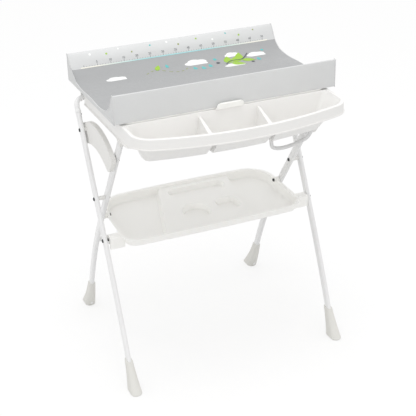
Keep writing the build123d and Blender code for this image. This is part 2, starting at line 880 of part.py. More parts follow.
plug_z = flange_z + seat_clearance
with BuildPart() as drain_plug:
    with Locations((drain_x, drain_y, plug_z + plug_thickness / 2)):
        Cylinder(plug_diameter / 2, plug_thickness)
    fillet(drain_plug.edges().group_by(Axis.Z)[-1], plug_edge_radius)
    with Locations((drain_x, drain_y, plug_z + plug_thickness + plug_knob_height / 2)):
        Cylinder(plug_knob_diameter / 2, plug_knob_height)
    fillet(drain_plug.edges().group_by(Axis.Z)[-1], plug_edge_radius)
    with Locations((drain_x, drain_y, plug_z - plug_stem_length / 2)):
        Cylinder(hose_bore / 2 - seat_clearance, plug_stem_length)
save(drain_plug, "drain_plug")

route = [Vector(*point) for point in hose_points]
hose_radii = []
for before, corner, after in zip(route, route[1:], route[2:]):
    first_run = corner - before
    second_run = after - corner
    half_turn = radians(first_run.get_angle(second_run)) / 2
    hose_radii.append(hose_run_share * min(first_run.length, second_run.length) / tan(half_turn))
print("hose radii", [round(radius, 1) for radius in hose_radii])

with BuildPart() as drain_hose:
    with BuildLine() as hose_path:
        FilletPolyline(*hose_points, radius=hose_radii)
    with BuildSketch(Plane(origin=route[0], z_dir=route[1] - route[0])):
        Circle(hose_diameter / 2)
        Circle(hose_bore / 2, mode=Mode.SUBTRACT)
    sweep()
hose_length = hose_path.wires()[0].length
hose_section = pi * (hose_diameter**2 - hose_bore**2) / 4
print("hose length", round(hose_length, 1), "volume over section times length",
      round(drain_hose.part.volume / (hose_section * hose_length), 4))
save(drain_hose, "drain_hose")

hose_end = route[-1]
hose_heading = (route[-1] - route[-2]).normalized()
clip_share = (hose_clip_z - route[-2].Z) / (hose_end.Z - route[-2].Z)
clip_centre = route[-2] + (hose_end - route[-2]) * clip_share
clip_inside = hose_diameter / 2 + seat_clearance
clip_outside = clip_inside + hose_clip_wall
clip_plane = Plane(origin=clip_centre - hose_heading * (hose_clip_width / 2), x_dir=(1, 0, 0), z_dir=hose_heading)
arm_length = clip_centre.Y - tray_back_y
with BuildPart() as hose_clip:
    with BuildSketch(clip_plane):
        Circle(clip_outside)
        with Locations((0, -arm_length / 2)):
            Rectangle(hose_clip_arm, arm_length)
        Circle(clip_inside, mode=Mode.SUBTRACT)
        with Locations((0, clip_outside)):
            Rectangle(hose_bore, clip_outside, mode=Mode.SUBTRACT)
    extrude(amount=hose_clip_width)
    add(tray_outside, mode=Mode.SUBTRACT)
save(hose_clip, "hose_clip")

cap_radius = clip_inside + hose_cap_wall
with BuildPart() as hose_cap:
    with BuildSketch(Plane(origin=hose_end - hose_heading * hose_cap_skirt, z_dir=hose_heading)):
        Circle(cap_radius)
    extrude(amount=hose_cap_skirt + hose_cap_length)
    fillet(hose_cap.edges().group_by(Axis.Z)[-1], hose_cap_wall)
    with BuildSketch(Plane(origin=hose_end - hose_heading * hose_cap_skirt, z_dir=hose_heading)):
        Circle(clip_inside)
    extrude(amount=hose_cap_skirt, mode=Mode.SUBTRACT)
save(hose_cap, "hose_cap")

# Board under the mat, with a tab that turns up in front of it
board_top_z = board_bottom_z + board_thickness
tab_slope = tan(radians(tab_lean))
tab_heel_y = tab_rear_y - tab_thickness
tab_top_y = tab_heel_y - (tab_top_z - board_bottom_z) * tab_slope
with BuildPart() as mat_board:
    with BuildSketch(Plane.XY.offset(board_bottom_z)):
        with Locations((0, (board_front_y + board_rear_y) / 2)):
            RectangleRounded(2 * board_half_length, board_rear_y - board_front_y, board_corner_radius)
    extrude(amount=board_thickness)
    with BuildSketch(side_plane(0)):
        with BuildLine():
            Polyline(
                (board_front_y + overrun, board_bottom_z),
                (tab_heel_y, board_bottom_z),
                (tab_top_y, tab_top_z),
                (tab_top_y + tab_thickness, tab_top_z),
                (tab_heel_y + tab_thickness - board_thickness * tab_slope, board_top_z),
                (board_front_y + overrun, board_top_z),
                close=True,
            )
        make_face()
    extrude(amount=tab_half_width, both=True)
    along_x = mat_board.edges().filter_by(Axis.X)
    fillet(along_x.sort_by_distance((0, tab_heel_y, board_bottom_z))[0], tab_heel_radius)
    fillet(mat_board.edges().filter_by(Axis.Y).group_by(Axis.Z)[-1], tab_corner_radius)
    lip_half = tab_half_width - tab_corner_radius
    x_cylinder(
        tab_lip_radius, -lip_half, lip_half, tab_top_y + tab_thickness / 2, tab_top_z - tab_lip_radius
    )
save(mat_board, "mat_board")


# Changing mat: a padded trough with a bolster along the front and another along the back
def mat_profile(draw):
    """Section of the mat across its length, drawn in all round by draw."""
    low_z = mat_bottom_z + draw / 2
    top_z = mat_bottom_z + mat_height - draw
    half = mat_width / 2 - draw
    edge = half - mat_side_crown
    inner_top = mat_width / 2 - mat_top_width
    slope_foot = mat_width / 2 - mat_slope_run
    cove = mat_width / 2 - mat_cove_run
    floor_edge = mat_width / 2 - mat_bolster_run
    lowered_z = mat_bottom_z - draw / 2
    floor_z = lowered_z + mat_floor_thickness
    crown_z = floor_z + mat_crown
    middle_z = (low_z + top_z) / 2
    round_z = top_z - mat_top_round
    with BuildSketch() as profile:
        with BuildLine():
            Line((-edge, low_z), (edge, low_z))
            ThreePointArc((edge, low_z), (half, middle_z), (edge, round_z))
            top_middle = (edge + inner_top - draw) / 2
            ThreePointArc((edge, round_z), (top_middle, top_z), (inner_top - draw, round_z))
            Line((inner_top - draw, round_z), (slope_foot, lowered_z + mat_slope_foot))
            ThreePointArc(
                (slope_foot, lowered_z + mat_slope_foot),
                (cove, lowered_z + mat_cove_height),
                (floor_edge, floor_z),
            )
            ThreePointArc((floor_edge, floor_z), (0, crown_z), (-floor_edge, floor_z))
            ThreePointArc(
                (-floor_edge, floor_z),
                (-cove, lowered_z + mat_cove_height),
                (-slope_foot, lowered_z + mat_slope_foot),
            )
            Line((-slope_foot, lowered_z + mat_slope_foot), (draw - inner_top, round_z))
            ThreePointArc((draw - inner_top, round_z), (-top_middle, top_z), (-edge, round_z))
            ThreePointArc((-edge, round_z), (-half, middle_z), (-edge, low_z))
        make_face()
    return profile.sketch


mat_half = mat_length / 2
with BuildPart() as changing_mat:
    for x_from, x_to, draw_from, draw_to in (
        (-mat_half, mat_end_length - mat_half, mat_end_draw, 0),
        (mat_end_length - mat_half, mat_half - mat_end_length, 0, 0),
        (mat_half - mat_end_length, mat_half, 0, mat_end_draw),
    ):
        for x, draw in ((x_from, draw_from), (x_to, draw_to)):
            with BuildSketch(Plane(origin=(x, mat_centre_y, 0), x_dir=(0, 1, 0), z_dir=(1, 0, 0))):
                add(mat_profile(draw))
        loft(ruled=True)
save(changing_mat, "changing_mat")


# Lock arms: crescent plates round the pivot, flanged inwards, that hook over the studs
def round_pivot(radius, angle):
    """Y and Z at a distance and an angle round the pivot, the angle from the back upwards."""
    return pivot_y + radius * cos(radians(angle)), pivot_z + radius * sin(radians(angle))


arm_middle_angle = (arm_start_angle + arm_end_angle) / 2


def arm_outline():
    """Crescent between the outer arc and the shallower inner arc."""
    with BuildSketch() as outline:
        with BuildLine():
            ThreePointArc(
                round_pivot(arm_outer_radius, arm_start_angle),
                round_pivot(arm_outer_radius, arm_middle_angle),
                round_pivot(arm_outer_radius, arm_end_angle),
            )
            Line(
                round_pivot(arm_outer_radius, arm_end_angle),
                round_pivot(arm_end_radius, arm_end_angle),
            )
            ThreePointArc(
                round_pivot(arm_end_radius, arm_end_angle),
                round_pivot(arm_middle_radius, arm_middle_angle),
                round_pivot(arm_start_radius, arm_start_angle),
            )
            Line(
                round_pivot(arm_start_radius, arm_start_angle),
                round_pivot(arm_outer_radius, arm_start_angle),
            )
        make_face()
        fillet(outline.vertices(), arm_corner_radius)
    return outline.sketch


def arm_catch():
    """Seat over the stud with a ramped tooth behind it and a lip in front."""
    stud_angle = radians(90 + inner_lean)
    stud = Vector(*arm_stud_place, 0)
    outwards = Vector(cos(stud_angle), sin(stud_angle), 0)
    backwards = Vector(sin(stud_angle), -cos(stud_angle), 0)
    seat = arm_stud_diameter / 2 + arm_seat_gap
    gap = arm_stud_diameter / 2 + arm_catch_gap
    ramp = arm_catch_drop * tan(radians(arm_catch_ramp))
    top = arm_outer_radius - arm_stud_distance - arm_flange / 2
    corners = (
        (-gap - arm_catch_tooth, top),
        (-gap - arm_catch_tooth, seat - arm_catch_front_drop),
        (-gap, seat - arm_catch_front_drop),
        (-gap, seat),
        (gap, seat),
        (gap + ramp, seat - arm_catch_drop),
        (gap + ramp + arm_catch_tooth, seat - arm_catch_drop),
        (gap + ramp + arm_catch_tooth, top),
    )
    points = [stud + backwards * along + outwards * out for along, out in corners]
    with BuildSketch() as catch:
        with BuildLine():
            Polyline(*[(point.X, point.Y) for point in points], close=True)
        make_face()
    return catch.sketch


arm_plate_far_x = arm_plate_near_x + arm_plate_thickness
arm_flange_x = arm_plate_near_x - arm_flange_reach
for side, word in sides:
    with BuildPart() as lock_arm:
        with BuildSketch(side_plane(side * arm_flange_x)):
            add(arm_outline())
        extrude(amount=side * (arm_plate_far_x - arm_flange_x))
        with BuildSketch(side_plane(side * arm_flange_x)):
            offset(arm_outline(), amount=-arm_flange)
        extrude(amount=side * arm_flange_reach, mode=Mode.SUBTRACT)
        with BuildSketch(side_plane(side * arm_flange_x)):
            with BuildLine():
                low = arm_middle_radius - arm_open_depth
                high = arm_middle_radius + arm_open_depth
                Polyline(
                    round_pivot(low, arm_open_from_angle),
                    round_pivot(high, arm_open_from_angle),
                    round_pivot(high, arm_middle_angle),
                    round_pivot(high, arm_open_to_angle),
                    round_pivot(low, arm_open_to_angle),
                    close=True,
                )
            make_face()
        extrude(amount=side * arm_flange_reach, mode=Mode.SUBTRACT)
        with BuildSketch(side_plane(side * arm_flange_x)):
            add(arm_catch())
        extrude(amount=side * arm_flange_reach)
        x_cylinder(arm_boss_diameter / 2, side * arm_plate_far_x, side * arm_boss_face, *arm_pin_place)
        hole_ends = (side * (arm_plate_near_x - overrun), side * (arm_boss_face + overrun))
        x_cylinder(pin_hole_radius, *hole_ends, *arm_pin_place, Mode.SUBTRACT)
    save(lock_arm, f"lock_arm_{word}")

# Storage shelf: a shallow pan with two bowls, a raised centre panel and its recesses
shelf_plane = Plane(
    origin=(0, shelf_front_y, shelf_front_z),
    x_dir=(1, 0, 0),
    z_dir=(0, -sin(radians(shelf_tilt)), cos(radians(shelf_tilt))),
)
shelf_up = Axis((0, 0, 0), shelf_plane.z_dir)


def shelf_level(depth):
    """Plane parallel to the shelf's rim, lower by depth."""
    return shelf_plane.offset(-depth)


def shelf_outline(inset):
    """Outline of the pan, wider at the back, with large rear corners, set in by inset."""
    front_half = shelf_front_half_width - inset
    rear_half = shelf_rear_half_width - inset
    with BuildSketch() as outline:
        with BuildLine():
            front_y = inset + shelf_front_bow
            rear_y = shelf_depth - inset - shelf_rear_bow
            ThreePointArc((-front_half, front_y), (0, inset), (front_half, front_y))
            Line((front_half, front_y), (rear_half, rear_y))
            ThreePointArc((rear_half, rear_y), (0, shelf_depth - inset), (-rear_half, rear_y))
            Line((-rear_half, rear_y), (-front_half, front_y))
        make_face()
        fillet(outline.vertices().group_by(Axis.Y)[0], shelf_front_corner_radius - inset)
        fillet(outline.vertices().group_by(Axis.Y)[-1], shelf_rear_corner_radius - inset)
    return outline.sketch


def pan_form(top_inset, depth):
    """Drafted block under the rim, from the given inset at the top."""
    with BuildPart() as form:
        with BuildSketch(shelf_level(0)):
            add(shelf_outline(top_inset))
        with BuildSketch(shelf_level(depth)):
            add(shelf_outline(top_inset + shelf_wall_run))
        loft()
        fillet(form.edges().group_by(shelf_up)[0], shelf_floor_radius)
    return form.part


def panel_form(shrink):
    """Raised centre panel from the front wall to the back wall, thinner by shrink."""
    with BuildPart() as form:
        for depth, slope in ((shelf_panel_drop + shrink, 0), (shelf_height + overrun, shelf_panel_slope)):
            spread = slope - shrink
            with BuildSketch(shelf_level(depth)):
                with BuildLine():
                    Polyline(
                        (shelf_panel_front_left_x - spread, shrink),
                        (shelf_panel_front_right_x + spread, shrink),
                        (shelf_panel_back_right_x + spread, shelf_depth - shrink),
                        (shelf_panel_back_left_x - spread, shelf_depth - shrink),
                        close=True,
                    )
                make_face()
        loft(ruled=True)
    return form.part


def recess_form(grow):
    """The slot, the cup and the dish in the panel, or their outsides when grown by the wall."""
    levels = ((shelf_panel_drop, 0), (shelf_cup_depth + grow, shelf_recess_taper))
    with BuildPart() as form:
        for depth, draft in ((shelf_panel_drop, 0), (shelf_slot_depth + grow, shelf_recess_taper)):
            with BuildSketch(shelf_level(depth)):
                with Locations((shelf_slot_x, shelf_slot_y - shelf_front_y)):
                    SlotOverall(
                        shelf_slot_length - 2 * draft + 2 * grow,
                        shelf_slot_width - 2 * draft + 2 * grow,
                    )
        loft()
        for depth, draft in levels:
            with BuildSketch(shelf_level(depth)):
                with Locations((shelf_cup_x, shelf_cup_y - shelf_front_y)):
                    Circle(shelf_cup_radius - draft + grow)
        loft()
        for depth, draft in levels:
            side_length = shelf_dish_side - 2 * draft + 2 * grow
            with BuildSketch(shelf_level(depth)):
                with Locations((shelf_dish_x, shelf_dish_y - shelf_front_y)):
                    RectangleRounded(side_length, side_length, shelf_dish_corner_radius - draft + grow)
        loft()
    return form.part


peg_y, peg_z = peg_place
ear_far_x = ear_near_x + ear_thickness
ear_root_x = shelf_front_half_width - shelf_rim - shelf_wall
slot_heading = (cos(radians(ear_slot_angle)), -sin(radians(ear_slot_angle)))
slot_half = peg_diameter / 2 + ear_peg_gap
boss_near_x = shelf_half_at_hinge - shelf_rim
boss_far_x = inner_inner_face - shelf_boss_gap
with BuildPart() as storage_shelf:
    add(pan_form(shelf_rim - shelf_wall, shelf_height))
    with BuildSketch(shelf_level(shelf_rim_thickness)):
        add(shelf_outline(0))
    extrude(amount=shelf_rim_thickness)
    for side, word in sides:
        with BuildSketch(side_plane(side * ear_root_x)) as ear_side:
            web_front = peg_y - ear_bridge_front
            bridge_top = peg_z + ear_bridge_top
            with BuildLine():
                Polyline(
                    (web_front, bridge_top),
                    (peg_y + ear_bridge_rear, bridge_top),
                    (peg_y + ear_bridge_rear, bridge_top - ear_bridge_thickness),
                    (web_front + ear_web_depth, bridge_top - ear_bridge_thickness),
                    (web_front + ear_web_depth, peg_z - ear_web_drop),
                    (web_front, peg_z - ear_web_drop),
                    close=True,
                )
            make_face()
            fillet(ear_side.vertices(), ear_corner_radius)
        extrude(amount=side * (ear_far_x - ear_root_x))
        x_cylinder(ear_radius, side * ear_near_x, side * ear_far_x, *peg_place)
        slot_ends = (side * (ear_near_x - overrun), side * (ear_far_x + overrun))
        x_cylinder(slot_half, *slot_ends, *peg_place, Mode.SUBTRACT)
        with BuildSketch(side_plane(side * ear_near_x)):
            slot_end = (peg_y + slot_heading[0] * ear_length, peg_z + slot_heading[1] * ear_length)
            with BuildLine():
                offset_y = -slot_heading[1] * slot_half
                offset_z = slot_heading[0] * slot_half
                Polyline(
                    (peg_y + offset_y, peg_z + offset_z),
                    (slot_end[0] + offset_y, slot_end[1] + offset_z),
                    (slot_end[0] - offset_y, slot_end[1] - offset_z),
                    (peg_y - offset_y, peg_z - offset_z),
                    close=True,
                )
            make_face()
        extrude(amount=side * ear_thickness, mode=Mode.SUBTRACT)
        x_cylinder(shelf_boss_diameter / 2, side * boss_near_x, side * boss_far_x, *shelf_hinge_place)
    add(pan_form(shelf_rim, shelf_height - shelf_wall) - panel_form(0), mode=Mode.SUBTRACT)
    add(panel_form(shelf_wall) & pan_form(shelf_rim, shelf_height + overrun), mode=Mode.SUBTRACT)
    add(recess_form(shelf_wall))
    add(recess_form(0), mode=Mode.SUBTRACT)
    for side, word in sides:
        bore_ends = (side * (ear_root_x - overrun), side * (boss_far_x + overrun))
        x_cylinder(pin_hole_radius, *bore_ends, *shelf_hinge_place, Mode.SUBTRACT)
save(storage_shelf, "storage_shelf")
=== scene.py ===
import bmesh
import bpy
import json
import math
from mathutils import Euler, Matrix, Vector
from mathutils.bvhtree import BVHTree


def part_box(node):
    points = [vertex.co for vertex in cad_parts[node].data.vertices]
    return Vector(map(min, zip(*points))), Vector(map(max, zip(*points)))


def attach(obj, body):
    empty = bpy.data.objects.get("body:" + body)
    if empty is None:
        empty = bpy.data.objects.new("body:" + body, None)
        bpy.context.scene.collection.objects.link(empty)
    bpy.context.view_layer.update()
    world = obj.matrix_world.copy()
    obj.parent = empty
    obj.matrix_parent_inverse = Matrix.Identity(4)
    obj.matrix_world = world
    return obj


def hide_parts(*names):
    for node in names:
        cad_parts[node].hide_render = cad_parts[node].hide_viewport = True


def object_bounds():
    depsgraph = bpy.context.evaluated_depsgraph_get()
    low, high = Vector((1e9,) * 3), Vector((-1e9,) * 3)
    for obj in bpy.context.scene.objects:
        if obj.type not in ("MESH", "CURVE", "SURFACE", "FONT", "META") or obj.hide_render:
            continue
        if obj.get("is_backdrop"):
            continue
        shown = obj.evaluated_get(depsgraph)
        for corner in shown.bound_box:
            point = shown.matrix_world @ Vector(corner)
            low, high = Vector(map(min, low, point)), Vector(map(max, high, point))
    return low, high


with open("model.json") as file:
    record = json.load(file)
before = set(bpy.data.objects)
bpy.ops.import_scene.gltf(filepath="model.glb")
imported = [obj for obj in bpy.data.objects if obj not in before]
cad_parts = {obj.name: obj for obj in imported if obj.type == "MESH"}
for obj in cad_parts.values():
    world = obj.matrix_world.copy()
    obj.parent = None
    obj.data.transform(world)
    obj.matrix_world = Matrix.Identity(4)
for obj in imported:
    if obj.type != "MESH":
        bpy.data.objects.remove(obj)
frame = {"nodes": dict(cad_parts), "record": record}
cad_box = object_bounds()
nodes = frame["nodes"]
scene = bpy.context.scene
MM = 0.001

# Camera at the photograph's viewing angle
CAMERA_PLACE = Vector((-1.3044, -3.0343, 2.1703))
CAMERA_TARGET = Vector((0.19576, 0.433, 0.27888))
CAMERA_ROLL = -1.25
CAMERA_LENS = 86.9
SENSOR_WIDTH = 36.0

camera_data = bpy.data.cameras.new("photo_camera")
camera_data.lens = CAMERA_LENS
camera_data.sensor_width = SENSOR_WIDTH
camera = bpy.data.objects.new("photo_camera", camera_data)
aim = (CAMERA_TARGET - CAMERA_PLACE).to_track_quat("-Z", "Y")
roll = Euler((0.0, 0.0, math.radians(CAMERA_ROLL))).to_quaternion()
camera.rotation_euler = (aim @ roll).to_euler()
camera.location = CAMERA_PLACE
scene.collection.objects.link(camera)
scene.camera = camera

# Drain hose: its route's points in millimetres, on one smooth line
HOSE_POINTS = [
    (226, -80, 783),
    (226, -80, 757),
    (240, -68, 736),
    (277, -60, 725),
    (316, -68, 733),
    (339, -97, 756),
    (343, -142, 790),
    (339, -175, 838),
    (338, -193, 888),
    (338, -200, 928),
]
HOSE_DIAMETER = 0.014
HOSE_LINE_STEPS = 8
HOSE_ROUND_STEPS = 6

hose_curve = bpy.data.curves.new("drain_hose_line", "CURVE")
hose_curve.dimensions = "3D"
spline = hose_curve.splines.new("NURBS")
spline.points.add(len(HOSE_POINTS) - 1)
for point, place in zip(spline.points, HOSE_POINTS):
    point.co = (*(value * MM for value in place), 1.0)
spline.order_u = 3
spline.use_endpoint_u = True
spline.resolution_u = HOSE_LINE_STEPS
hose_curve.bevel_depth = HOSE_DIAMETER / 2
hose_curve.bevel_resolution = HOSE_ROUND_STEPS
hose_curve.use_fill_caps = True
hose = bpy.data.objects.new("drain_hose_line", hose_curve)
scene.collection.objects.link(hose)
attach(hose, "tub")
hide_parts("drain_hose")


# Materials: each one varies in colour, gloss and fine relief
def srgb(red, green, blue):
    """Linear colour of an sRGB triple given from 0 to 255."""
    def linear(value):
        value /= 255.0
        return value / 12.92 if value <= 0.04045 else ((value + 0.055) / 1.055) ** 2.4
    return (linear(red), linear(green), linear(blue), 1.0)


def shade(colour, factor):
    """The colour, darker by a factor."""
    return (*(channel * factor for channel in colour[:3]), 1.0)


MOTTLE_DETAIL = 4.0


class Graph:
    """Small helper round a material's node tree."""

    def __init__(self, name):
        self.material = bpy.data.materials.new(name)
        self.material.use_nodes = True
        self.tree = self.material.node_tree
        self.shader = self.tree.nodes["Principled BSDF"]
        self.place = self.add("ShaderNodeTexCoord").outputs["Object"]

    def add(self, kind, **settings):
        """New node, with each setting given to its input or its property of that name."""
        node = self.tree.nodes.new(kind)
        for key, value in settings.items():
            if key in node.inputs:
                node.inputs[key].default_value = value
            else:
                setattr(node, key, value)
        return node

    def link(self, source, target):
        self.tree.links.new(source, target)

    def noise(self, scale, detail, roughness=0.5):
        """Noise over the object's own coordinates, in metres."""
        noise = self.add("ShaderNodeTexNoise", Scale=scale, Detail=detail, Roughness=roughness)
        self.link(self.place, noise.inputs["Vector"])
        return noise.outputs["Fac"]

    def ramp(self, source, low, high, from_low=0.3, from_high=0.7):
        """Map a factor, at first a noise's usual range, to another range."""
        node = self.add("ShaderNodeMapRange")
        node.inputs["From Min"].default_value = from_low
        node.inputs["From Max"].default_value = from_high
        node.inputs["To Min"].default_value = low
        node.inputs["To Max"].default_value = high
        self.link(source, node.inputs["Value"])
        return node.outputs["Result"]

    def colours(self, source, first, second):
        """Blend of two colours by a factor."""
        node = self.add("ShaderNodeMix", data_type="RGBA")
        node.inputs[6].default_value = first
        node.inputs[7].default_value = second
        self.link(source, node.inputs[0])
        return node.outputs[2]

    def mottle(self, scale, colour, factor):
        """Base colour that drifts between the colour and a darker one."""
        drift = self.ramp(self.noise(scale, MOTTLE_DETAIL), 0.0, 1.0)
        self.link(self.colours(drift, colour, shade(colour, factor)), self.shader.inputs["Base Color"])

    def gloss(self, scale, detail, low, high):
        """Roughness that drifts between two values."""
        self.link(self.ramp(self.noise(scale, detail), low, high), self.shader.inputs["Roughness"])

    def bump(self, source, distance, strength):
        """Relief as high as the distance in metres, at a strength from 0 to 1."""
        node = self.add("ShaderNodeBump", Strength=strength, Distance=distance)
        self.link(source, node.inputs["Height"])
        self.link(node.outputs["Normal"], self.shader.inputs["Normal"])

    def set(self, **values):
        """Values of the shader's own sockets, with _ for the spaces in their names."""
        for key, value in values.items():
            self.shader.inputs[key.replace("_", " ")].default_value = value


PLAIN_MOTTLE_SCALE = 9.0
WEAR_SCALE = 60.0
WEAR_DETAIL = 5.0
WEAR_SPREAD = 0.15
GRAIN_DETAIL = 2.0
GRAIN_STRENGTH = 0.35


def plain_surface(name, colour, rough, grain, relief, mottle=0.96, **values):
    """Moulded or painted surface: slight mottling, uneven gloss and a fine grain."""
    graph = Graph(name)
    graph.mottle(PLAIN_MOTTLE_SCALE, colour, mottle)
    graph.gloss(WEAR_SCALE, WEAR_DETAIL, rough * (1 - WEAR_SPREAD), rough * (1 + WEAR_SPREAD))
    graph.bump(graph.noise(grain, GRAIN_DETAIL), relief, GRAIN_STRENGTH)
    graph.set(**values)
    return graph.material


FRAME_WHITE = srgb(240, 240, 240)
TUB_WHITE = srgb(241, 240, 238)
FITTING_WHITE = srgb(236, 235, 232)
SHELF_WHITE = srgb(255, 254, 250)
BOARD_WHITE = srgb(253, 253, 250)
FOOT_GREY = srgb(228, 227, 222)
DARK_STEEL = srgb(70, 72, 74)
HOSE_GREY = srgb(238, 239, 238)
EVEN_DEPTH = (1.0, 1.0, 1.0)

materials = {
    "frame_paint": plain_surface(
        "powder_coat", FRAME_WHITE, rough=0.32, grain=900.0, relief=0.00008,
        Coat_Weight=0.25, Coat_Roughness=0.2,
    ),
    "foot_plastic": plain_surface("boot_plastic", FOOT_GREY, rough=0.55, grain=1400.0, relief=0.00015),
    "fitting_plastic": plain_surface(
        "fitting_plastic", FITTING_WHITE, rough=0.42, grain=1200.0, relief=0.0001,
    ),
    "tub_plastic": plain_surface(
        "tub_plastic", TUB_WHITE, rough=0.34, grain=500.0, relief=0.00003, mottle=0.985,
    ),
    "shelf_plastic": plain_surface(
        "shelf_plastic", SHELF_WHITE, rough=0.4, grain=500.0, relief=0.00003, mottle=0.985,
        Subsurface_Weight=0.25, Subsurface_Radius=EVEN_DEPTH, Subsurface_Scale=0.003,
    ),
    "dark_steel": plain_surface(
        "dark_zinc", DARK_STEEL, rough=0.38, grain=2500.0, relief=0.00006, mottle=0.8, Metallic=0.9,
    ),
    "hose_vinyl": plain_surface(
        "hose_vinyl", HOSE_GREY, rough=0.38, grain=1500.0, relief=0.00008,
        Subsurface_Weight=0.3, Subsurface_Radius=EVEN_DEPTH, Subsurface_Scale=0.004,
    ),
    "plug_rubber": plain_surface("plug_rubber", FITTING_WHITE, rough=0.55, grain=1600.0, relief=0.0001),
}
board_finish = plain_surface(
    "board_plastic", BOARD_WHITE, rough=0.4, grain=700.0, relief=0.00004, mottle=0.985,
)

slot_of = {entry["node"]: entry["material_slot"] for entry in frame["record"]["subparts"]}
for name, node in nodes.items():
    finish = board_finish if name == "mat_board" else materials.get(slot_of[name])
    if finish:
        node.data.materials.clear()
        node.data.materials.append(finish)

VINYL_MOTTLE_SCALE = 6.0
VINYL_MOTTLE = 0.965
VINYL_GLOSS_SCALE = 80.0
VINYL_GLOSS_DETAIL = 4.0
VINYL_ROUGH = (0.42, 0.56)
VINYL_CELLS = 700.0
CELL_RIM = 0.2
CELL_HEIGHT = 0.3
PUCKER_SCALE = 22.0
PUCKER_DETAIL = 5.0
PUCKER_ROUGHNESS = 0.55
PUCKER_SHARE = 5.0
VINYL_RELIEF = 0.0006
VINYL_STRENGTH = 0.5


def vinyl(name, colour):
    """Coated fabric of the mat: a fine leatherette grain, soft puckers and a slight sheen."""
    graph = Graph(name)
    graph.mottle(VINYL_MOTTLE_SCALE, colour, VINYL_MOTTLE)
    graph.gloss(VINYL_GLOSS_SCALE, VINYL_GLOSS_DETAIL, *VINYL_ROUGH)
    cells = graph.add("ShaderNodeTexVoronoi", Scale=VINYL_CELLS, feature="DISTANCE_TO_EDGE")
    graph.link(graph.place, cells.inputs["Vector"])
    relief = graph.add("ShaderNodeMath", operation="MULTIPLY_ADD")
    graph.link(graph.noise(PUCKER_SCALE, PUCKER_DETAIL, PUCKER_ROUGHNESS), relief.inputs[0])
    relief.inputs[1].default_value = PUCKER_SHARE
    cell = graph.ramp(cells.outputs["Distance"], 0.0, CELL_HEIGHT, from_low=0.0, from_high=CELL_RIM)
    graph.link(cell, relief.inputs[2])
    graph.bump(relief.outputs[0], VINYL_RELIEF, VINYL_STRENGTH)
    graph.set(Sheen_Weight=0.08, Sheen_Roughness=0.5)
    return graph.material


MAT_GREY = srgb(216, 217, 217)
MAT_FLOOR_GREY = srgb(166, 167, 168)
mat_vinyl = vinyl("mat_vinyl", MAT_GREY)
mat_floor_vinyl = vinyl("mat_floor_vinyl", MAT_FLOOR_GREY)


def piece(name, mesh, body, slot, *finishes):
    """A new visible piece on a body, with its finishes. Its slot is not used."""
    thing = bpy.data.objects.new(name, mesh)
    scene.collection.objects.link(thing)
    for finish in finishes:
        mesh.materials.append(finish)
    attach(thing, body)
    return thing


# Changing mat: a padded trough, blown up a little between its welded seams
SWELL_ROOM = 0.003
UNDER_ROOM = 0.0005
TOP_ROOM = 0.001
MAT_SPACING = 0.011
mat_low, mat_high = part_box("changing_mat")
MAT_CENTRE_Y = (mat_low.y + mat_high.y) / 2
MAT_HALF = (mat_high.y - mat_low.y) / 2 - SWELL_ROOM
MAT_END = mat_high.x
MAT_BOTTOM = mat_low.z + UNDER_ROOM
MAT_TOP = mat_high.z - TOP_ROOM

# Inner side of a bolster: distance in from the outer face, and height over the bottom.
# The welded line where the bolster meets the mat's floor is one of these points.
BOLSTER_POINTS = [
    (0.009, 0.0965), (0.0125, 0.091), (0.020, 0.079), (0.0275, 0.067), (0.0345, 0.0557),
    (0.0405, 0.046), (0.052, 0.0367), (0.064, 0.0282), (0.080, 0.0205), (0.100, 0.0158),
    (0.119, 0.0135), (0.142, 0.0115), (0.166, 0.0108),
]
WELD_POINT = 5
OUTER_STEPS = 9
FLOOR_CROWN = 0.0135


def mat_section():
    """Closed outline of the mat's section as (y, z, held, floor), front bottom corner first."""
    def side(sign):
        """Outer face upwards, then the bolster's inner side down to the floor."""
        rows = []
        for step in range(OUTER_STEPS + 1):
            height = (MAT_TOP - MAT_BOTTOM) * step / OUTER_STEPS
            rows.append((sign * MAT_HALF, MAT_BOTTOM + height, step in (0, OUTER_STEPS), False))
        for number, (inward, height) in enumerate(BOLSTER_POINTS):
            place = (sign * (MAT_HALF - inward), MAT_BOTTOM + height)
            rows.append((*place, number == WELD_POINT, number >= WELD_POINT))
        return rows
    edge_in, edge_high = BOLSTER_POINTS[-1]
    floor_edge = MAT_HALF - edge_in
    floor = []
    steps = int(2 * floor_edge / MAT_SPACING)
    for step in range(1, steps):
        share = step / steps
        rise = edge_high + (FLOOR_CROWN - edge_high) * math.sin(math.pi * share)
        floor.append((-floor_edge + 2 * floor_edge * share, MAT_BOTTOM + rise, False, True))
    bottom = []
    steps = int(2 * MAT_HALF / (2 * MAT_SPACING))
    for step in range(1, steps):
        bottom.append((MAT_HALF - 2 * MAT_HALF * step / steps, MAT_BOTTOM, False, False))
    return side(-1.0) + floor + side(1.0)[::-1] + bottom


